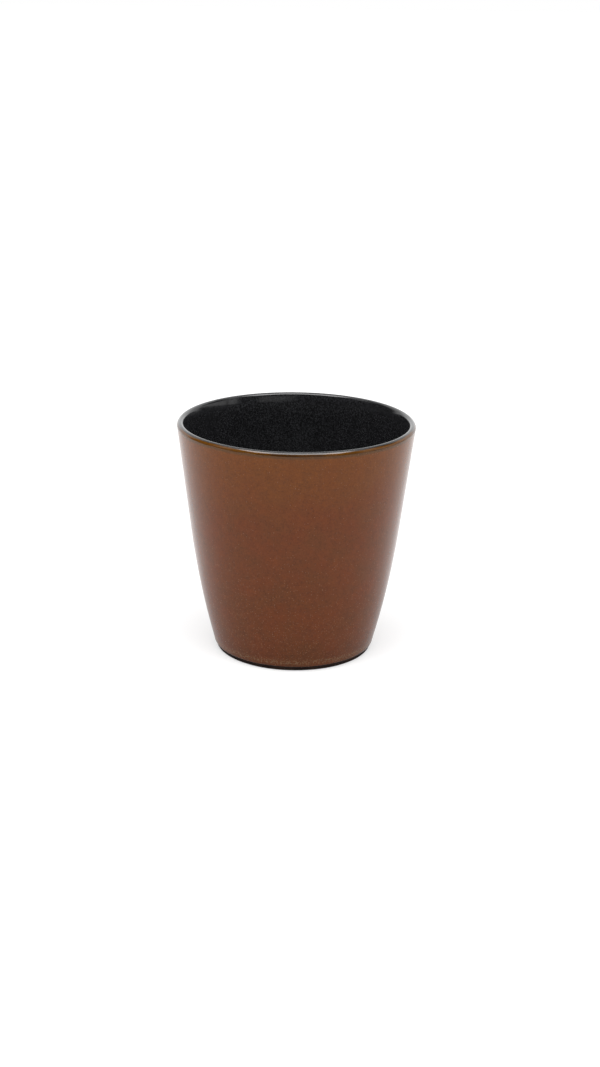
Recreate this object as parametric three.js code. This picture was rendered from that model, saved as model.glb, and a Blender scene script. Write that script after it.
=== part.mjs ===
// A handleless stoneware cup: one fired clay body that carries three fused coats of glaze.
// Units are millimetres, +Z is up, and the origin is the centre of the foot, on the table.
import * as THREE from 'three';

// Clay body, as fired and before glazing
const BODY_HEIGHT = 79.2; // table to the top of the bare lip
const RIM_DIAMETER = 79.4; // outside of the bare lip
const FOOT_DIAMETER = 53.0; // outside of the foot
const WALL_LEAN = THREE.MathUtils.degToRad(7.2); // the straight upper wall, from vertical
const BELLY_HEIGHT = 42.5; // below this the wall curves in towards the foot
const LIP_THICKNESS = 1.2;
const BASE_WALL = 3.1; // the wall at the foot, which thins evenly up to the lip
const FLOOR_THICKNESS = 4.0; // inside floor to the ceiling of the foot recess
const FLOOR_CORNER = 12.0; // rounding between the inner wall and the floor
const FOOT_RING_WIDTH = 4.0; // the ring that the cup stands on
const FOOT_RECESS = 1.5; // depth of the hollow turned out inside that ring
const FOOT_EDGE = 0.5; // rounding of the foot's outer edge

// Glaze coats, fused to the clay
const OUTER_GLAZE = 0.3; // thickness of the rust satin glaze outside
const LINER_GLAZE = 0.3; // thickness of the black speckled glaze inside
const RIM_GLAZE = 0.35; // thickness of the glossy amber glaze on the lip
const BARE_FOOT = 0.9; // unglazed clay above the table
const OUTER_LAP = 1.6; // how far the rim glaze comes down outside, from the top of the bare lip
const INNER_LAP = 3.2; // how far it comes down inside

// Fineness of the faceted surfaces
const TURN_STEPS = 48;
const BELLY_STEPS = 8;
const INNER_WALL_STEPS = 5;
const CORNER_STEPS = 6;
const LIP_STEPS = 6;
const EDGE_STEPS = 3;

// Values that follow from the sizes
const footRadius = FOOT_DIAMETER / 2;
const floorHeight = FOOT_RECESS + FLOOR_THICKNESS;
const lipRadius = LIP_THICKNESS / 2;
const lipCentre = new THREE.Vector2(RIM_DIAMETER / 2 - lipRadius, BODY_HEIGHT - lipRadius);
const outerSlope = Math.tan(WALL_LEAN);
const innerSlope = outerSlope + (BASE_WALL - LIP_THICKNESS) / lipCentre.y;
const innerLean = Math.atan(innerSlope);

/** Radius, at height z, of the outer wall carried straight down from the lip. */
const straightRadius = (z) => lipCentre.x + lipRadius / Math.cos(WALL_LEAN) - (lipCentre.y - z) * outerSlope;

// The belly is a parabola: it leaves the straight wall smoothly and ends at the foot.
const bellyBend = (straightRadius(0) - footRadius) / BELLY_HEIGHT ** 2;
const belowBelly = (z) => Math.max(BELLY_HEIGHT - z, 0);

/** Radius of the clay's outer wall at height z. */
const outerRadius = (z) => straightRadius(z) - bellyBend * belowBelly(z) ** 2;

/** Radius of the clay's inner wall at height z. */
function innerRadius(z) {
  const straight = lipCentre.x - lipRadius / Math.cos(innerLean) - (lipCentre.y - z) * innerSlope;
  return straight - bellyBend * belowBelly(z) ** 2;
}

/** The point of a wall at height z. */
const onWall = (radiusAt, z) => new THREE.Vector2(radiusAt(z), z);

/** Points on a wall from one height to another, both ends included. */
function wallPoints(radiusAt, from, to, steps) {
  const heights = Array.from({ length: steps + 1 }, (_, i) => THREE.MathUtils.lerp(from, to, i / steps));
  return heights.map((z) => onWall(radiusAt, z));
}

// The clay's profile in (radius, height): from the axis underneath, up the outside, over the lip and
// down inside to the axis again. Each stretch goes on from the end of the one before it.
const profile = [new THREE.Vector2(0, FOOT_RECESS)];

/** Adds a stretch to the profile, less a first point that is there already, and returns its last index. */
function addStretch(points) {
  const end = profile.at(-1);
  profile.push(...points.filter((point) => !point.equals(end)));
  return profile.length - 1;
}

const ringInside = footRadius - FOOT_RING_WIDTH;
const footEdge = new THREE.QuadraticBezierCurve(
  new THREE.Vector2(footRadius - FOOT_EDGE, 0),
  new THREE.Vector2(footRadius, 0),
  onWall(outerRadius, FOOT_EDGE),
);
addStretch([new THREE.Vector2(ringInside - FOOT_RECESS, FOOT_RECESS), new THREE.Vector2(ringInside, 0)]);
addStretch(footEdge.getPoints(EDGE_STEPS));
const glazeLine = addStretch([onWall(outerRadius, BARE_FOOT)]);
addStretch(wallPoints(outerRadius, BARE_FOOT, BELLY_HEIGHT, BELLY_STEPS));
const outerLap = addStretch([onWall(outerRadius, BODY_HEIGHT - OUTER_LAP)]);
const lip = new THREE.EllipseCurve(
  lipCentre.x,
  lipCentre.y,
  lipRadius,
  lipRadius,
  -WALL_LEAN,
  Math.PI - innerLean,
);
addStretch(lip.getPoints(LIP_STEPS));
const innerLap = addStretch([onWall(innerRadius, BODY_HEIGHT - INNER_LAP)]);
addStretch(wallPoints(innerRadius, BELLY_HEIGHT, floorHeight + FLOOR_CORNER, INNER_WALL_STEPS));
const cornerTop = profile.at(-1);
const cornerSlope = innerSlope + 2 * bellyBend * belowBelly(cornerTop.y);
const cornerPoint = new THREE.Vector2(cornerTop.x - FLOOR_CORNER * cornerSlope, floorHeight);
const floorEdge = new THREE.Vector2(cornerPoint.x - FLOOR_CORNER, floorHeight);
addStretch(new THREE.QuadraticBezierCurve(cornerTop, cornerPoint, floorEdge).getPoints(CORNER_STEPS));
const floorCentre = addStretch([new THREE.Vector2(0, floorHeight)]);

/** Turns a profile of (radius, height) about the Z axis. */
const turned = (points) => new THREE.LatheGeometry(points, TURN_STEPS).rotateX(Math.PI / 2);

/** The direction out of the clay at one point of its profile. */
function outward(i) {
  const before = profile[i - 1];
  const after = profile[Math.min(i + 1, profile.length - 1)];
  const along = after.clone().sub(before).normalize();
  return new THREE.Vector2(along.y, -along.x);
}

/** A coat of even thickness on the clay, between two points of its profile. */
function coat(first, last, thickness) {
  const clay = profile.slice(first, last + 1);
  const skin = clay.map((point, i) => point.clone().addScaledVector(outward(first + i), thickness));
  const outline = [...clay.toReversed(), ...skin];
  const reachesAxis = last === floorCentre;
  return turned(reachesAxis ? outline : [...outline, outline[0]]);
}

const cup = new THREE.Group();
cup.name = 'cup';

/** Adds one named piece to the cup. */
function addPiece(name, geometry, color, roughness) {
  const material = new THREE.MeshStandardMaterial({ color, roughness, metalness: 0 });
  const piece = new THREE.Mesh(geometry, material);
  piece.name = name;
  cup.add(piece);
}

addPiece('stoneware_body', turned(profile), 0x3d2a22, 0.9);
addPiece('outer_glaze', coat(glazeLine, outerLap, OUTER_GLAZE), 0x6e4229, 0.45);
addPiece('rim_glaze', coat(outerLap, innerLap, RIM_GLAZE), 0x5a350f, 0.12);
addPiece('liner_glaze', coat(innerLap, floorCentre, LINER_GLAZE), 0x19191b, 0.25);

export default cup;
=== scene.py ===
import math

import bpy
import numpy as np
from mathutils import Matrix, Vector


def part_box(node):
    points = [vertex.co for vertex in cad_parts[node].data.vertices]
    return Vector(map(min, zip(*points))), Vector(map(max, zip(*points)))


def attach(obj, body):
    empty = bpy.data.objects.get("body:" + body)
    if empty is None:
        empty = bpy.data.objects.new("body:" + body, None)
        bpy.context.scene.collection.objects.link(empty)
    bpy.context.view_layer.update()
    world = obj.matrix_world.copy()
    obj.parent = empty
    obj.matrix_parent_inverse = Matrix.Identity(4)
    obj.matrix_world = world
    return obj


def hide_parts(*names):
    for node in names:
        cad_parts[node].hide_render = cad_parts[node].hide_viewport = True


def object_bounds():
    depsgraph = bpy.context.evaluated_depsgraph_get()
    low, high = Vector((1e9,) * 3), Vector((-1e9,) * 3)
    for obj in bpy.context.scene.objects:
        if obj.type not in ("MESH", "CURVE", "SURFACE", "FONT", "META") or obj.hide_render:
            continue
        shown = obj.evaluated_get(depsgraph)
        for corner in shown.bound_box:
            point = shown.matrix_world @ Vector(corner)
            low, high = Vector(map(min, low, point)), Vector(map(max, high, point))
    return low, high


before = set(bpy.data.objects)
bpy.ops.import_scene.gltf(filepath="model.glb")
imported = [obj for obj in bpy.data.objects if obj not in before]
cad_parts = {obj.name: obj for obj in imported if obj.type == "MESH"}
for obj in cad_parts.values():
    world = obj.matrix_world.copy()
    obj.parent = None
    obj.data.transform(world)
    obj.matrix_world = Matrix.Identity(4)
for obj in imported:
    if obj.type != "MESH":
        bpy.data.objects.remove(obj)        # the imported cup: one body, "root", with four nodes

cad_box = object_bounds()


# The clay body is one pot of dark stoneware, turned to a straight upper wall, a drawn-in belly, a thin
# lip and a foot ring, and then fired. Glaze covers all of it but the foot, which is left bare so that it
# doesn't stick to the kiln shelf.
MM = 0.001
FOOT_RADIUS = 26.5 * MM
FOOT_RING = 4.0 * MM          # width of the ring that the cup stands on
FOOT_RECESS = 1.5 * MM        # depth of the hollow inside that ring
FOOT_EDGE = 0.5 * MM          # rounding of the ring's outer edge
RING_EDGE = 0.4 * MM          # rounding of its inner edge
WALL_LEAN = math.radians(7.2)
BELLY_HEIGHT = 42.5 * MM      # below this the wall curves in towards the foot
LIP_RADIUS = 0.6 * MM
BASE_WALL = 3.1 * MM          # the wall at the foot, which thins evenly up to the lip
FLOOR_CORNER = 12.0 * MM      # rounding between the inner wall and the floor
TOOL_MARK = 1.7 * MM          # from one turning groove under the foot to the next
TOOL_DEPTH = 0.035 * MM
OUT_OF_ROUND = [(2, 0.05, 0.7), (3, 0.03, 2.1)]      # waves a turn, millimetres, phase
EYE = 0.8 * MM                # radius of the smallest ring of points round the axis
COLUMNS = 240                 # points round the pot
CLAY_ROWS = 72                # points up the outside
SHARP = math.radians(50)      # a surface that bends more than this has an edge there
turn = np.linspace(0.0, 2 * math.pi, COLUMNS, endpoint=False)

clay_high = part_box("stoneware_body")[1]
inside_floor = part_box("liner_glaze")[0].z
lip_r = clay_high.x - LIP_RADIUS
lip_z = clay_high.z - LIP_RADIUS
outer_slope = math.tan(WALL_LEAN)
inner_slope = outer_slope + (BASE_WALL - 2 * LIP_RADIUS) / lip_z
inner_lean = math.atan(inner_slope)


def straight_wall(z):
    """Radius of the outer wall carried straight down from the lip: it shrinks evenly with depth."""
    return lip_r + LIP_RADIUS / math.cos(WALL_LEAN) - (lip_z - z) * outer_slope


belly_bend = (straight_wall(0.0) - FOOT_RADIUS) / BELLY_HEIGHT**2


def drawn_in(z):
    """How far the belly draws the wall in: the square of the depth below its top, times belly_bend."""
    return belly_bend * np.maximum(BELLY_HEIGHT - z, 0.0) ** 2


def outer_wall(z):
    """Points (radius, height) of the clay's outer wall: the straight wall, drawn in by the belly."""
    return np.stack([straight_wall(z) - drawn_in(z), z], axis=-1)


def inner_wall(z):
    """Points (radius, height) of the clay's inner wall, made in the same way. It leans a little more than
    the outer one, so the wall thins upwards."""
    straight = lip_r - LIP_RADIUS / math.cos(inner_lean) - (lip_z - z) * inner_slope
    return np.stack([straight - drawn_in(z), z], axis=-1)


def bend(start, corner, end, steps):
    """A quadratic curve from start to end that is drawn towards corner, with both ends left out."""
    t = np.linspace(0.0, 1.0, steps + 2)[1:-1, None]
    return (1 - t) ** 2 * np.array(start) + 2 * t * (1 - t) * np.array(corner) + t**2 * np.array(end)


def arc(centre, radius, start, end, steps):
    """Points of a circle round a centre. The angle goes evenly from start to end; 0 points outwards."""
    angle = np.linspace(start, end, steps)
    return np.array(centre) + radius * np.stack([np.cos(angle), np.sin(angle)], axis=-1)


def level_run(start_r, end_r, height, steps):
    """Points of a level line at one height: the radius goes evenly from start to end."""
    r = np.linspace(start_r, end_r, steps)
    return np.stack([r, np.full_like(r, height)], axis=-1)


def underside_run():
    """The clay underneath, from the eye out: the hollow's ceiling with turned grooves (a sine of the
    radius), the slope down to the foot ring, the ring's flat and its rounded outer edge."""
    ring_in = FOOT_RADIUS - FOOT_RING
    ceiling = level_run(EYE, ring_in - FOOT_RECESS, FOOT_RECESS, steps=90)
    ceiling[:, 1] += TOOL_DEPTH * np.sin(2 * math.pi * ceiling[:, 0] / TOOL_MARK)
    flat = level_run(ring_in + RING_EDGE, FOOT_RADIUS - FOOT_EDGE, 0.0, steps=6)
    slope = bend(ceiling[-1], (ring_in, 0.0), flat[0], steps=8)
    edge = bend(flat[-1], (FOOT_RADIUS, 0.0), outer_wall(np.array(FOOT_EDGE)), steps=5)
    return np.concatenate([ceiling, slope, flat, edge])


corner_top = inner_wall(np.array(inside_floor + FLOOR_CORNER))
corner_slope = inner_slope + 2 * belly_bend * (BELLY_HEIGHT - corner_top[1])
corner_r = corner_top[0] - FLOOR_CORNER * corner_slope


def inside_run(top, wall_rows, floor_rows):
    """The clay's inside, from a height down the wall, round the corner and over the floor to the eye."""
    wall = inner_wall(np.linspace(top, corner_top[1], wall_rows))
    floor = level_run(corner_r - FLOOR_CORNER, EYE, inside_floor, floor_rows)
    corner = bend(wall[-1], (corner_r, inside_floor), floor[0], steps=18)
    return np.concatenate([wall, corner, floor])


def ripple(waves, size):
    """An uneven line round the pot: a sum of cosines, each (waves a turn, share of size, phase)."""
    return size * sum(share * np.cos(count * turn + phase) for count, share, phase in waves)


def all_round(run):
    """One run for each column, from a run that is the same all round."""
    return np.repeat(run[:, None], COLUMNS, axis=1)


def turned(run):
    """A run of (radius, height), one for all columns or one for each, turned about the Z axis: x is the
    radius times a cosine and y times a sine. The radius strays from a true circle, more so higher up."""
    run = run if run.ndim == 3 else all_round(run)
    r = run[..., 0] + ripple(OUT_OF_ROUND, MM) * run[..., 1] / clay_high.z
    return np.stack([r * np.cos(turn), r * np.sin(turn), run[..., 1]], axis=-1)


def pot_piece(name, points, ring):
    """An object whose mesh joins a grid of points: rows lie along the profile, columns go round the pot.
    A ring's last row joins its first; otherwise a fan closes each end on the axis."""
    rows = len(points)
    index = np.arange(rows * COLUMNS).reshape(rows, COLUMNS)
    beside = np.roll(index, -1, axis=1)
    above = np.roll(index, -1, axis=0)
    above_beside = np.roll(beside, -1, axis=0)
    last = rows if ring else rows - 1
    quads = np.stack([index, beside, above_beside, above], axis=-1)[:last].reshape(-1, 4)
    vertices = points.reshape(-1, 3)
    faces = quads.tolist()
    if not ring:
        first_eye = np.full(COLUMNS, len(vertices))
        last_eye = first_eye + 1
        vertices = np.concatenate([vertices, points[:1].mean(axis=1), points[-1:].mean(axis=1)])
        faces += np.stack([first_eye, beside[0], index[0]], axis=-1).tolist()
        faces += np.stack([last_eye, index[-1], beside[-1]], axis=-1).tolist()
    mesh = bpy.data.meshes.new(name)
    mesh.from_pydata(vertices.tolist(), [], faces)
    mesh.shade_smooth()
    mesh.set_sharp_from_angle(angle=SHARP)
    piece = bpy.data.objects.new(name, mesh)
    bpy.context.scene.collection.objects.link(piece)
    return piece


class Shade:
    """A number, colour or place in a shader: one output socket. Arithmetic on it adds Math nodes."""

    def __init__(self, tree, socket=None):
        self.tree = tree
        self.socket = socket

    def node(self, kind, settings=None, sockets=None, out=0):
        """Adds a node of a type, with its settings set first and then its sockets' values or links."""
        made = self.tree.nodes.new(kind)
        for name, value in (settings or {}).items():
            setattr(made, name, value)
        for name, value in (sockets or {}).items():
            if isinstance(value, Shade):
                self.tree.links.new(value.socket, made.inputs[name])
            else:
                made.inputs[name].default_value = value
        return Shade(self.tree, made.outputs[out] if len(made.outputs) else None)

    def maths(self, operation, first, second):
        """One Math node on two values, each a number or a Shade."""
        return self.node("ShaderNodeMath", {"operation": operation}, {0: first, 1: second})

    def __add__(self, other):
        return self.maths("ADD", self, other)

    def __radd__(self, other):
        return self.maths("ADD", other, self)

    def __sub__(self, other):
        return self.maths("SUBTRACT", self, other)

    def __rsub__(self, other):
        return self.maths("SUBTRACT", other, self)

    def __mul__(self, other):
        return self.maths("MULTIPLY", self, other)

    def __rmul__(self, other):
        return self.maths("MULTIPLY", other, self)

    def rise(self, low, high):
        """0 below low, 1 above high, and a smooth climb between."""
        sockets = {"Value": self, "From Min": low, "From Max": high}
        return self.node("ShaderNodeMapRange", {"interpolation_type": "SMOOTHSTEP"}, sockets)

    def between(self, low, high, soft):
        """1 from low to high and 0 outside, with a smooth step, as wide as soft, centred on each end."""
        half = soft / 2
        return self.rise(low - half, low + half) * (1 - self.rise(high - half, high + half))

    def mix(self, colour, other):
        """The first colour where this value is 0, the other where it is 1. A Mix node takes its colours
        in sockets 6 and 7 and gives the result in socket 2."""
        settings = {"data_type": "RGBA", "clamp_factor": True}
        return self.node("ShaderNodeMix", settings, {0: self, 6: colour, 7: other}, out=2)

    def toned(self, value):
        """This colour made darker or lighter: all of it is multiplied by a value."""
        sockets = {"Vector": self, "Scale": value}
        return self.node("ShaderNodeVectorMath", {"operation": "SCALE"}, sockets)

    def part(self, axis):
        """The X, Y or Z of this place."""
        return self.node("ShaderNodeSeparateXYZ", None, {"Vector": self}, out=axis)

    def noise(self, size, detail=2.0, rough=0.5):
        """Soft random clouds over this place, about 0.5 on average, with blotches of a given size."""
        sockets = {"Vector": self, "Scale": 1 / size, "Detail": detail, "Roughness": rough}
        return self.node("ShaderNodeTexNoise", None, sockets)

    def patches(self, size, low, high, **noise):
        """Random patches over this place: 0 where noise of a size is below low, and 1 where above high."""
        return self.noise(size, **noise).rise(low, high)

    def cells(self, gap, out):
        """Points scattered over this place, about a gap apart: the distance to one, in gaps, or its
        random colour."""
        return self.node("ShaderNodeTexVoronoi", None, {"Vector": self, "Scale": 1 / gap}, out=out)

    def dots(self, gap, core, edge):
        """Round dots on those points: 1 as far out as core and 0 from edge on, both in gaps."""
        return 1 - self.cells(gap, "Distance").rise(core, edge)


def finish_of(piece, name):
    """Gives a piece a new material. Returns its empty shader tree, and the place on the piece in it."""
    material = bpy.data.materials.new(name)
    material.use_nodes = True
    material.node_tree.nodes.clear()
    piece.data.materials.append(material)
    tree = Shade(material.node_tree)
    return tree, tree.node("ShaderNodeTexCoord", out="Object")


def surface(tree, colour, rough, relief, depth, gloss):
    """The piece's one shader: its colour, roughness, relief of a given depth, and constant settings."""
    bump = tree.node("ShaderNodeBump", None, {"Height": relief, "Strength": 1.0, "Distance": depth})
    sockets = {"Base Color": colour, "Roughness": rough, "Normal": bump} | gloss
    shader = tree.node("ShaderNodeBsdfPrincipled", None, sockets)
    tree.node("ShaderNodeOutputMaterial", None, {"Surface": shader})


clay_lip = arc((lip_r, lip_z), LIP_RADIUS, -WALL_LEAN, math.pi - inner_lean, steps=13)
clay_outside = outer_wall(np.linspace(FOOT_EDGE, clay_lip[0, 1], CLAY_ROWS))[:-1]
clay_inside = inside_run(clay_lip[-1, 1], wall_rows=60, floor_rows=14)[1:]
clay_run = np.concatenate([underside_run(), clay_outside, clay_lip, clay_inside])
clay_body = pot_piece("clay_body", turned(clay_run), ring=False)

CLAY_DARK = (0.012, 0.007, 0.006, 1)
CLAY_LIGHT = (0.026, 0.015, 0.011, 1)
CLAY_GRIT = (0.12, 0.085, 0.06, 1)
CLAY_WORN = (0.085, 0.055, 0.04, 1)
LIGHT_PATCH = (5 * MM, 0.30, 0.70)     # size of the patches, and the noise levels at which they set in
GRIT_PATCH = (4 * MM, 0.45, 0.60)      # the same, for where the clay has grit in it
GRIT_DOT = (0.9 * MM, 0.12, 0.20)      # gap from grain to grain, and a grain's soft edge in gaps
GRIT_SHARE = 0.7              # how much of the grit's colour shows
WORN_PATCH = (2 * MM, 0.40, 0.60)
WORN_HEIGHT = (0.01 * MM, 0.12 * MM)   # the wear ends over this height, so only the foot's flat has it
WORN_SHARE = 0.8
CLAY_GRAIN = 0.35 * MM
CLAY_ROUGH = 0.78
GRAIN_ROUGH = 0.2             # what the grain adds to that
CLAY_RELIEF = 0.05 * MM       # height of grain and grit
tree, place = finish_of(clay_body, "bare_stoneware")
height = place.part("Z")
grain = place.noise(CLAY_GRAIN, detail=4.0)
grit = place.dots(*GRIT_DOT) * place.patches(*GRIT_PATCH)
worn = (1 - height.rise(*WORN_HEIGHT)) * place.patches(*WORN_PATCH)
colour = place.patches(*LIGHT_PATCH, detail=3.0).mix(CLAY_DARK, CLAY_LIGHT)
colour = (GRIT_SHARE * grit).mix(colour, CLAY_GRIT)
colour = (WORN_SHARE * worn).mix(colour, CLAY_WORN)
rough = CLAY_ROUGH + GRAIN_ROUGH * grain
surface(tree, colour, rough, grain + grit, CLAY_RELIEF, {"IOR": 1.2})

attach(clay_body, "root")
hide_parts("stoneware_body")


# The outside glaze is a rust brown satin coat, sprayed on the raw wall and wiped off the foot before
# firing. It breaks to small pale specks where it is thickest, low on the wall, and gathers in a soft
# roll at its lower edge.
GLAZE = 0.30 * MM
WIPED = 0.8 * MM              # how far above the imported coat's lower edge the foot is wiped clean
ROLL = 0.7 * MM               # height over which the lower edge rounds up to the full thickness
ROLL_START = 0.25             # share of the thickness that the edge starts with
GATHER = 0.06 * MM            # extra thickness where it has run down to the edge
GATHER_HEIGHT = 1.6 * MM
LAP = 1.2 * MM                # how far the rim glaze comes down over it, from the top of the lip
LAP_RIPPLE = 0.22 * MM
LAP_WAVES = [(3, 0.30, 0.4), (7, 0.22, 2.2), (13, 0.20, 5.1), (23, 0.16, 1.3), (37, 0.12, 3.9)]
EDGE_RIPPLE = 0.10 * MM
EDGE_WAVES = [(2, 0.4, 1.0), (5, 0.3, 3.3), (11, 0.3, 0.2)]
TUCK = 0.3 * MM               # how far it runs on, thinly, under the rim glaze
TUCK_ROWS = [[1 / 3], [1.0]]  # shares of that way at which its last two rows lie
TUCK_SHARE = 0.3              # share of its thickness there
WALL_ROWS = 90
ROW_CROWDING = 1.6            # above 1, the rows lie closer together towards the foot

lap_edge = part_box("rim_glaze")[1].z - LAP + ripple(LAP_WAVES, LAP_RIPPLE)
foot_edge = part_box("outer_glaze")[0].z + WIPED + ripple(EDGE_WAVES, EDGE_RIPPLE)


def coat(run, thickness):
    """A closed coat on the clay: its skin, and then its back, which is the run the other way. The skin
    lies a thickness out along the run's normal, the direction of travel turned a quarter to the right."""
    along = np.gradient(run, axis=0)
    along /= np.linalg.norm(along, axis=-1, keepdims=True)
    out = np.stack([along[..., 1], -along[..., 0]], axis=-1)
    return np.concatenate([run + out * thickness[..., None], run[::-1]])


row_share = np.linspace(0.0, 1.0, WALL_ROWS)[:, None] ** ROW_CROWDING
tucked_z = lap_edge + TUCK * np.array(TUCK_ROWS)
wall_z = np.concatenate([foot_edge + row_share * (lap_edge - foot_edge), tucked_z])
above_edge = wall_z - foot_edge
rolled = np.sqrt(1 - (1 - np.clip(above_edge / ROLL, 0.0, 1.0)) ** 2)
gathered = GATHER * np.exp(-((above_edge / GATHER_HEIGHT) ** 2))
wall_thickness = ROLL_START * GLAZE + rolled * ((1 - ROLL_START) * GLAZE + gathered)
wall_thickness[-len(TUCK_ROWS):] *= TUCK_SHARE
rust_coat = pot_piece("rust_glaze", turned(coat(outer_wall(wall_z), wall_thickness)), ring=True)


def mark(piece, name, values):
    """Stores one number for each point of a piece, under a name that its material reads."""
    attribute = piece.data.attributes.new(name, "FLOAT", "POINT")
    attribute.data.foreach_set("value", values.ravel())


below_lap = lap_edge - wall_z
mark(rust_coat, "below_lap", np.concatenate([below_lap, below_lap[::-1]]))

RUST_RED = (0.116, 0.0255, 0.0030, 1)
RUST_OLIVE = (0.103, 0.0270, 0.0040, 1)
# The gold is partly the glaze's colour and partly painted light from above, which lightens the upper wall.
RUST_GOLD_AND_TOP_LIGHT = (0.136, 0.0395, 0.0035, 1)
LAP_HALO = (0.074, 0.035, 0.011, 1)
OLIVE_PATCH = (8 * MM, 0.28, 0.72)
GOLD_AND_LIGHT_HEIGHT = (55 * MM, 90 * MM)       # the gold, with its painted light from above, comes in over this height
GOLD_AND_LIGHT_CLOUD = 16 * MM          # size of the clouds that make it uneven
GOLD_AND_LIGHT_WANDER = 14 * MM         # and how far down they can bring it
GOLD_AND_LIGHT_SHARE = 0.85
HALO_DEPTH = (0.45 * MM, 1.15 * MM)    # below the rim glaze: the dull band fades out over this way
HALO_SHARE = 0.8
tree, place = finish_of(rust_coat, "rust_satin_glaze")
height = place.part("Z")
from_lap = tree.node("ShaderNodeAttribute", {"attribute_name": "below_lap"}, out="Fac")

# Its ground drifts from red to olive brown, turns golden and lighter near the lip, partly its own colour
# and partly painted light from above, and goes dull just under the rim glaze.
colour = place.patches(*OLIVE_PATCH, detail=3.0).mix(RUST_RED, RUST_OLIVE)
golden_and_lit = (height + GOLD_AND_LIGHT_WANDER * place.noise(GOLD_AND_LIGHT_CLOUD)).rise(*GOLD_AND_LIGHT_HEIGHT)
colour = (GOLD_AND_LIGHT_SHARE * golden_and_lit).mix(colour, RUST_GOLD_AND_TOP_LIGHT)
halo = 1 - from_lap.rise(*HALO_DEPTH)
colour = (HALO_SHARE * halo).mix(colour, LAP_HALO)

# Fine grain and soft clouds vary its tone, and painted shade darkens it towards the foot.
RUST_GRAIN = 0.5 * MM
RUST_CLOUD = 2.4 * MM
TONE = 0.305                  # what its colour is multiplied by, before grain and clouds add to that
CLOUD_TONE = 0.35             # what a cloud adds
PAINTED_FOOT_SHADE = 0.13              # painted shade: what is taken off at the foot
PAINTED_FOOT_SHADE_TOP = 16 * MM       # and fades out up to here
grain = place.noise(RUST_GRAIN, rough=0.6)
clouds = place.noise(RUST_CLOUD, detail=3.0)
# Painted shade: the colour darkens towards the foot.
painted_foot_shade = PAINTED_FOOT_SHADE * (1 - height.rise(0.0, PAINTED_FOOT_SHADE_TOP))
colour = colour.toned(TONE + grain + CLOUD_TONE * clouds - painted_foot_shade)

# A ring of pale dusting just above the foot lies under the specks, which grow denser down the wall.
RUST_DUST = (0.22, 0.140, 0.075, 1)
DUST_RING = (2.6 * MM, 4.1 * MM, 1.5 * MM)      # bottom, top, and the height over which each fades
DUST_PATCH = (0.45 * MM, 0.42, 0.66)
DUST_SHARE = 0.50
RUST_PALE = (0.30, 0.155, 0.085, 1)
SPECK_GAP = 0.52 * MM
SPECK_EDGE = (0.12, 0.30)     # a speck's soft edge, in gaps
SPECK_CHANCE = (0.78, 1.02)   # it shows where its random number, from 0 to 1, comes out above these
LOW_CHANCE = 0.45             # what is added to that number at the foot
LOW_HEIGHT = (2 * MM, 50 * MM)         # and fades out over this height
SPECK_SHARE = 0.60
dust = height.between(*DUST_RING) * place.patches(*DUST_PATCH)
colour = (DUST_SHARE * dust).mix(colour, RUST_DUST)
chance = tree.node("ShaderNodeSeparateColor", None, {"Color": place.cells(SPECK_GAP, "Color")})
low_wall = 1 - height.rise(*LOW_HEIGHT)
speck = place.dots(SPECK_GAP, *SPECK_EDGE) * (chance + LOW_CHANCE * low_wall).rise(*SPECK_CHANCE)
colour = (SPECK_SHARE * speck).mix(colour, RUST_PALE)

# It is satin, a little duller in clouds and on the specks, with a faint orange peel.
SATIN_ROUGH = 0.14
SATIN_CLOUD = 6 * MM
CLOUD_ROUGH = 0.08            # what a cloud adds to the roughness
SPECK_ROUGH = 0.10            # and what a speck does
RUST_PEEL = 1.1 * MM
PEEL_GRAIN = 0.25             # share of the grain in the relief
RUST_RELIEF = 0.01 * MM
satin = SATIN_ROUGH + CLOUD_ROUGH * place.noise(SATIN_CLOUD) + SPECK_ROUGH * speck
relief = place.noise(RUST_PEEL) + PEEL_GRAIN * grain
sheen = {"IOR": 1.30, "Sheen Weight": 0.08, "Sheen Roughness": 0.4}
surface(tree, colour, satin, relief, RUST_RELIEF, sheen)

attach(rust_coat, "root")
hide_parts("outer_glaze")


# The inside glaze is a black gloss, poured in and tipped out again. It lies smooth, thickens towards the
# lip that it ran out over, and pools a little on the floor. Fine grey-blue crystals float in it.
LINER = 0.30 * MM
LINER_ROLL = 0.69 * MM        # extra thickness at its upper edge
LINER_ROLL_HEIGHT = 9 * MM
POOL = 0.35 * MM              # extra thickness on the floor
POOL_HEIGHT = 2.5 * MM
liner_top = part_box("liner_glaze")[1].z
liner_run = inside_run(liner_top, wall_rows=70, floor_rows=24)
liner_z = liner_run[:, 1]
pooled = POOL * np.exp(-(liner_z - inside_floor) / POOL_HEIGHT)
rolled_back = LINER_ROLL * np.exp(-(((liner_top - liner_z) / LINER_ROLL_HEIGHT) ** 2))
liner_coat = coat(liner_run, LINER + pooled + rolled_back)
from_the_eye = np.roll(liner_coat, len(liner_run), axis=0)      # up its back first, then down its skin
black_liner = pot_piece("black_liner", turned(from_the_eye), ring=False)

BLACK = (0.0045, 0.0045, 0.0048, 1)
CRYSTAL = (0.0180, 0.0182, 0.0202, 1)
CRYSTAL_PATCH = (0.5 * MM, 0.40, 0.64)
CRYSTAL_CLOUD = 6 * MM        # size of the clouds in which they lie denser
CRYSTAL_SHARE = 0.6           # how much of their colour shows, at the least
CLOUD_SHARE = 0.6             # what a cloud adds to that
BLACK_ROUGH = 0.15
CRYSTAL_ROUGH = 0.15          # what a crystal adds to that
BLACK_PEEL = 1.6 * MM
BLACK_RELIEF = 0.004 * MM


def crystals(place):
    """Fine flecks all over the black glaze, denser in clouds: 0 in clear black and about 1 in a fleck."""
    density = CRYSTAL_SHARE + CLOUD_SHARE * place.noise(CRYSTAL_CLOUD)
    return place.patches(*CRYSTAL_PATCH, rough=0.6) * density


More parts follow.
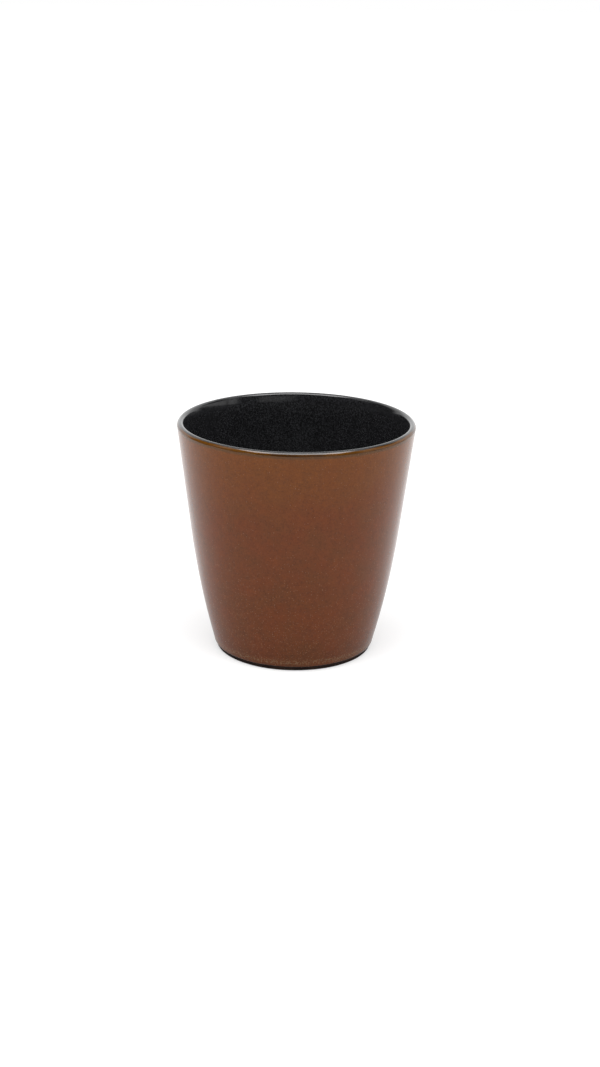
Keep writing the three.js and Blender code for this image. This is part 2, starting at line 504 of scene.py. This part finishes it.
tree, place = finish_of(black_liner, "black_speckled_glaze")
flecks = crystals(place)
colour = flecks.mix(BLACK, CRYSTAL)
rough = BLACK_ROUGH + CRYSTAL_ROUGH * flecks
surface(tree, colour, rough, place.noise(BLACK_PEEL), BLACK_RELIEF, {"IOR": 1.5})

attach(black_liner, "root")
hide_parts("liner_glaze")


# The rim glaze is a clear amber gloss that the lip is dipped in last. It rounds the lip to a soft
# shoulder outside, a tight crown and a round turn inside. The black shows through it there, and it is
# honey coloured where its wavy edge laps over the rust glaze.
RIM_OUT = 0.33 * MM           # thickness outside, almost flush with the rust glaze
RIM_END = LINER + LINER_ROLL  # thickness at its lower end inside, flush with the black glaze
SHOULDER = 1.5 * MM           # radius of the lip's soft turn outside
SHOULDER_END = math.radians(70)        # the way the skin faces there, up from outwards
CROWN = 0.45 * MM             # radius of the tighter turn over its top
CROWN_END = math.radians(95)
INNER_TURN = 1.20 * MM        # radius of the round turn from there down inside
FLARE = math.radians(10)      # how much more than the wall the skin leans out at the end of that turn
WAVY_END = math.radians(28)   # on the shoulder: the rows that follow the wavy edge have evened out here
WAVY_ROWS = 12
inner_lap, lip_top = (corner.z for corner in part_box("rim_glaze"))
shoulder_z = lip_top - CROWN - (SHOULDER - CROWN) * math.sin(SHOULDER_END)
shoulder_low = shoulder_z - SHOULDER * math.sin(WALL_LEAN)
shoulder_r = outer_wall(np.array(shoulder_z))[0] + (RIM_OUT - SHOULDER) / math.cos(WALL_LEAN)


def rim_outside(z):
    """Points of the rim glaze's skin outside: RIM_OUT off the clay's wall up to shoulder_low, and above
    that a circle of radius SHOULDER."""
    line = outer_wall(z)[..., 0] + RIM_OUT / math.cos(WALL_LEAN)
    circle = shoulder_r + np.sqrt(np.maximum(SHOULDER**2 - (z - shoulder_z) ** 2, 0.0))
    return np.stack([np.where(z > shoulder_low, circle, line), z], axis=-1)


def turns(point, facing, radii_and_ends, steps):
    """Points of circles that run on smoothly from a point that faces a given way. Each has a radius and
    the way it faces at its end, and its centre lies that radius behind the point it starts from."""
    stretches = []
    for radius, end in radii_and_ends:
        centre = point - radius * np.array([math.cos(facing), math.sin(facing)])
        stretches.append(arc(centre, radius, facing, end, steps)[1:])
        point = stretches[-1][-1]
        facing = end
    return np.concatenate(stretches)


def rim_inside(top, steps):
    """Points of its skin inside, from a top point downwards. The thickness off the clay's wall grows to
    RIM_END, fast at first and then slower, so the mouth flares a little at the lip."""
    share = np.linspace(0.0, 1.0, steps)[1:]
    z = top[1] + share * (inner_lap - top[1])
    at_top = (inner_wall(top[1])[0] - top[0]) * math.cos(inner_lean)
    thickness = at_top + (RIM_END - at_top) * share * (2 - share)
    return inner_wall(z) - np.stack([thickness / math.cos(inner_lean), np.zeros_like(z)], axis=-1)


wavy_top = rim_outside(np.array(shoulder_z + SHOULDER * math.sin(WAVY_END)))
wavy_share = np.linspace(0.0, 1.0, WAVY_ROWS)[:, None]
wavy_skin = rim_outside(lap_edge + wavy_share * (wavy_top[1] - lap_edge))
lip_turns = [(SHOULDER, SHOULDER_END), (CROWN, CROWN_END), (INNER_TURN, math.pi - inner_lean - FLARE)]
lip_skin = turns(wavy_top, WAVY_END, lip_turns, steps=14)
inner_skin = rim_inside(lip_skin[-1], steps=18)
rim_skin = np.concatenate([wavy_skin, all_round(lip_skin), all_round(inner_skin)])
under_lip = np.concatenate([clay_lip, inner_wall(np.array([inner_lap]))])
rim_back = np.concatenate([outer_wall(lap_edge[None]), all_round(under_lip)])[::-1]
amber_rim = pot_piece("amber_rim", turned(np.concatenate([rim_skin, rim_back])), ring=True)

RUN_DEPTH = 0.5               # mean depth of the lap, where 0 is thin and 1 is thick
RUN_WAVES = [(4, 0.35, 0.0), (9, 0.10, 1.9), (21, 0.15, 4.0)]      # and how it runs thicker and thinner
row_gaps = np.linalg.norm(np.diff(rim_skin, axis=0, prepend=rim_skin[:1]), axis=-1)
above_lap = np.concatenate([np.cumsum(row_gaps, axis=0), np.zeros(rim_back.shape[:2])])
mark(amber_rim, "above_lap", above_lap)
mark(amber_rim, "run_depth", np.broadcast_to(RUN_DEPTH + ripple(RUN_WAVES, 1.0), above_lap.shape))

TREACLE = (0.022, 0.008, 0.002, 1)
HONEY = (0.084, 0.030, 0.0015, 1)
NOISE_MEAN = 0.5
FRAY = 0.3 * MM               # how unevenly one colour of the rim goes over to the next
FRAY_CLOUD = 1.3 * MM
RUN_UNEVEN = 0.6              # how unevenly the lap's depth colours it
RUN_CLOUD = 3 * MM
RUN_DARK = (0.35, 0.95)       # the depths over which honey darkens to treacle
RUN_SHARE = 0.75
EDGE_LINE = 0.16 * MM         # width of the dark line
HONEY_END = (0.75 * MM, 1.15 * MM)     # from the lap's edge up the skin: honey goes over to black
RIM_ROUGH = 0.08
RIM_CLOUD = 3 * MM
RIM_CLOUD_ROUGH = 0.08        # what a cloud adds to the roughness
RIM_PEEL = 1.4 * MM
RIM_RELIEF = 0.006 * MM
tree, place = finish_of(amber_rim, "amber_rim_glaze")
up_skin = tree.node("ShaderNodeAttribute", {"attribute_name": "above_lap"}, out="Fac")
run_depth = tree.node("ShaderNodeAttribute", {"attribute_name": "run_depth"}, out="Fac")

# The lap is honey with darker patches and a dark line along its edge. Above it the black shows through.
run_cloud = place.noise(RUN_CLOUD, detail=3.0) - NOISE_MEAN
run_thick = (run_depth + RUN_UNEVEN * run_cloud).rise(*RUN_DARK)
colour = (RUN_SHARE * run_thick).mix(HONEY, TREACLE)
frayed = up_skin + FRAY * (place.noise(FRAY_CLOUD, detail=3.0) - NOISE_MEAN)
edge_line = 1 - frayed.rise(0.0, EDGE_LINE)
colour = edge_line.mix(colour, TREACLE)
over_black = frayed.rise(*HONEY_END)
colour = over_black.mix(colour, crystals(place).mix(BLACK, CRYSTAL))
rough = RIM_ROUGH + RIM_CLOUD_ROUGH * place.noise(RIM_CLOUD)
surface(tree, colour, rough, place.noise(RIM_PEEL), RIM_RELIEF, {"IOR": 1.55})

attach(amber_rim, "root")
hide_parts("rim_glaze")


# The table is a plain sheet of white paper that lies flat under the cup. Its glow makes it white to the
# camera, and in reflections away from the cup, while it keeps the cup's shadow; close to the foot,
# reflections see the glow cut back, a painted shadow. It is see-through from below and where the foot
# hides it, so the foot is lit when it is looked at from there.
SHEET_SIZE = 12.0
SHEET_COLOUR = (0.5, 0.5, 0.5, 1)
SHEET_GLOW = 0.40
PAINTED_SHADOW_SHARE = 0.2            # painted shadow: share of that glow left in reflections close to the foot
PAINTED_SHADOW_TO = 30 * MM           # from the axis: so far the glow is at that share
CLEAR_FROM = 110 * MM         # and from here on it is whole
HIDDEN = (25.7 * MM, 25.8 * MM)        # from the axis: the foot hides the sheet out to here
FAR = (0.3, 1.5)              # from the axis: over this way the lamps' light on the sheet falls off
FAR_GLOW = 1.5                # share of the glow that the camera sees added beyond, to make up for that
corners = np.array([[-1, -1, 0], [1, -1, 0], [1, 1, 0], [-1, 1, 0]]) * SHEET_SIZE / 2
sheet_mesh = bpy.data.meshes.new("table_sheet")
sheet_mesh.from_pydata(corners.tolist(), [], [(0, 1, 2, 3)])
table_sheet = bpy.data.objects.new("table_sheet", sheet_mesh)
bpy.context.scene.collection.objects.link(table_sheet)


def ways_seen(tree):
    """Two values, each 0 or 1: whether a ray comes from the camera, and whether from gloss or glass."""
    camera_ray = tree.node("ShaderNodeLightPath", out="Is Camera Ray")
    glossy_ray = tree.node("ShaderNodeLightPath", out="Is Glossy Ray")
    glass_ray = tree.node("ShaderNodeLightPath", out="Is Transmission Ray")
    return camera_ray, tree.maths("MAXIMUM", glossy_ray, glass_ray) * (1 - camera_ray)


tree, place = finish_of(table_sheet, "white_sheet")
camera_ray, reflected_ray = ways_seen(tree)
from_axis = tree.node("ShaderNodeVectorMath", {"operation": "LENGTH"}, {"Vector": place}, out="Value")
# Painted shadow: in reflections the glow is cut back close to the foot.
outside_painted_shadow = PAINTED_SHADOW_SHARE + (1 - PAINTED_SHADOW_SHARE) * from_axis.rise(PAINTED_SHADOW_TO, CLEAR_FROM)
glow_share = camera_ray * (1 + FAR_GLOW * from_axis.rise(*FAR)) + reflected_ray * outside_painted_shadow
paper = tree.node("ShaderNodeBsdfDiffuse", None, {"Color": SHEET_COLOUR})
glow = tree.node("ShaderNodeEmission", None, {"Color": glow_share, "Strength": SHEET_GLOW})
lit_paper = tree.node("ShaderNodeAddShader", None, {0: paper, 1: glow})
from_below = tree.node("ShaderNodeNewGeometry", out="Backfacing")
under_foot = 1 - from_axis.rise(*HIDDEN)
clear = tree.node("ShaderNodeBsdfTransparent")
see_through = tree.maths("MAXIMUM", from_below, under_foot)
sheet = tree.node("ShaderNodeMixShader", None, {0: see_through, 1: lit_paper, 2: clear})
tree.node("ShaderNodeOutputMaterial", None, {"Surface": sheet})


# The studio is a white tent, lit most at its two sides, with a softbox overhead and a weak one behind.
# What shines sees a bright backdrop, white panels in the roof and at the sides and, towards the camera,
# the tent's open, dim front with a window at the right, which keeps the glazes deep.
TENT_LIGHT = 0.50             # light on the cup from all round
TENT_SIDES = 1.70             # what the tent's two sides add to it
world = bpy.data.worlds.new("white_tent")
bpy.context.scene.world = world
world.use_nodes = True
world.node_tree.nodes.clear()
tent = Shade(world.node_tree)
camera_ray, reflected_ray = ways_seen(tent)
direction = tent.node("ShaderNodeTexCoord", out="Generated")
sideways = direction.part("X")
frontwards = 0 - direction.part("Y")
upwards = direction.part("Z")
outwards = sideways * sideways
lighting = TENT_LIGHT + TENT_SIDES * outwards

# The window is two panes with a bar between, and a strip of bright curtain further to the front. Each
# has two edges and their softness, in shares of straight to the front. Its sill and head are in shares of
# straight up.
WINDOW_LIGHT = 0.8
BACK_PANE = (-0.60, 0.195, 0.01)
FRONT_PANE = (0.225, 0.41, 0.03)
CURTAIN_LIGHT = 0.4
CURTAIN = (0.74, 0.97, 0.07)
SILL_TO_HEAD = (0.115, 0.34, 0.04)
WINDOW_SIDE = (0.0, 0.02)     # it is on the right
panes = frontwards.between(*BACK_PANE) + frontwards.between(*FRONT_PANE)
curtain = frontwards.between(*CURTAIN)
opening = upwards.between(*SILL_TO_HEAD) * sideways.rise(*WINDOW_SIDE)
window = opening * (WINDOW_LIGHT * panes + CURTAIN_LIGHT * curtain)

# The tent goes from its bright backdrop to plain white, which is 1, and then to the open front.
BACKDROP_LIGHT = 1.5
BACKDROP_EDGE = (-0.92, -0.72)         # in shares of straight to the front
FRONT_LIGHT = 0.03
FRONT_EDGE = (-0.62, -0.42)
FRONT_RAKE = 0.25             # how far that edge comes forward overhead
white = BACKDROP_LIGHT - (BACKDROP_LIGHT - 1) * frontwards.rise(*BACKDROP_EDGE)
open_front = (frontwards - FRONT_RAKE * upwards * upwards).rise(*FRONT_EDGE)
room = white - open_front * (white - FRONT_LIGHT - window)

# Two panels hang in the roof, with a gap along the middle, and one stands high up at each side.
ROOF_LIGHT = 1.2
ROOF_EDGE = (0.74, 0.82)      # in shares of straight up
ROOF_GAP = (0.05, 0.10)       # the square of a share of straight to the side
SIDE_LIGHT = 1.8
SIDE_EDGE = (0.44, 0.60)      # the lower edge, in shares of straight up
SIDE_RAKE = 0.35              # how far that edge rises to the front
SIDE_TOP = (0.45, 0.60)       # the upper edge, as the roof's gap
SIDE_BACK = (-0.12, 0.08)     # the edge towards the backdrop, in shares of straight to the front
roof_panels = upwards.rise(*ROOF_EDGE) * outwards.rise(*ROOF_GAP)
side_low = (upwards - SIDE_RAKE * frontwards).rise(*SIDE_EDGE)
side_panels = side_low * outwards.rise(*SIDE_TOP) * frontwards.rise(*SIDE_BACK)
mirrored = room + roof_panels * (ROOF_LIGHT - room) + side_panels * (SIDE_LIGHT - room)

level = camera_ray + reflected_ray * mirrored + (1 - camera_ray - reflected_ray) * lighting
backdrop = tent.node("ShaderNodeBackground", None, {"Color": level, "Strength": 1.0})
tent.node("ShaderNodeOutputWorld", None, {"Surface": backdrop})


def softbox(name, stand, wide, high, power):
    """A rectangular lamp on its stand, turned to face the foot of the cup."""
    lamp = bpy.data.lights.new(name, "AREA")
    lamp.shape = "RECTANGLE"
    lamp.size = wide
    lamp.size_y = high
    lamp.energy = power
    holder = bpy.data.objects.new(name, lamp)
    facing = stand.to_track_quat("Z", "Y").to_matrix().to_4x4()
    holder.matrix_world = Matrix.Translation(stand) @ facing
    bpy.context.scene.collection.objects.link(holder)


softbox("top_softbox", Vector((0.0, -0.33, 1.20)), wide=1.55, high=0.80, power=22.0)
softbox("back_softbox", Vector((0.0, 1.0, 0.80)), wide=1.6, high=0.6, power=1.0)


# The camera looks down on the cup from about arm's length and is rolled by under one degree. A small
# shift of its lens sets where the cup lies in the picture.
CAMERA_DISTANCE = 0.600
CAMERA_RISE = math.radians(18.65)
CAMERA_ROLL = math.radians(0.84)
SENSOR_WIDTH = 36.0           # millimetres, along the picture's longer side
PICTURE_HEIGHT = 1067.0       # pixels
FOCAL_PIXELS = 1753.5
AIM_PIXEL = (294.9, 532.9)    # where the middle of the cup's axis lies
PICTURE_MIDDLE = (300.0, 533.5)
aim = Vector((0.0, 0.0, cad_box[1][2] / 2))
back = Vector((0.0, -math.cos(CAMERA_RISE), math.sin(CAMERA_RISE)))
level_right = Vector((1.0, 0.0, 0.0))
level_up = back.cross(level_right)
right = level_right * math.cos(CAMERA_ROLL) + level_up * math.sin(CAMERA_ROLL)
up = level_up * math.cos(CAMERA_ROLL) - level_right * math.sin(CAMERA_ROLL)
lens = bpy.data.cameras.new("camera")
lens.sensor_width = SENSOR_WIDTH
lens.lens = SENSOR_WIDTH * FOCAL_PIXELS / PICTURE_HEIGHT
lens.shift_x = (PICTURE_MIDDLE[0] - AIM_PIXEL[0]) / PICTURE_HEIGHT
lens.shift_y = (AIM_PIXEL[1] - PICTURE_MIDDLE[1]) / PICTURE_HEIGHT
camera = bpy.data.objects.new("camera", lens)
facing = Matrix((right, up, back)).transposed().to_4x4()
camera.matrix_world = Matrix.Translation(aim + back * CAMERA_DISTANCE) @ facing
bpy.context.scene.collection.objects.link(camera)
bpy.context.scene.camera = camera
bpy.context.scene.view_settings.view_transform = "Standard"
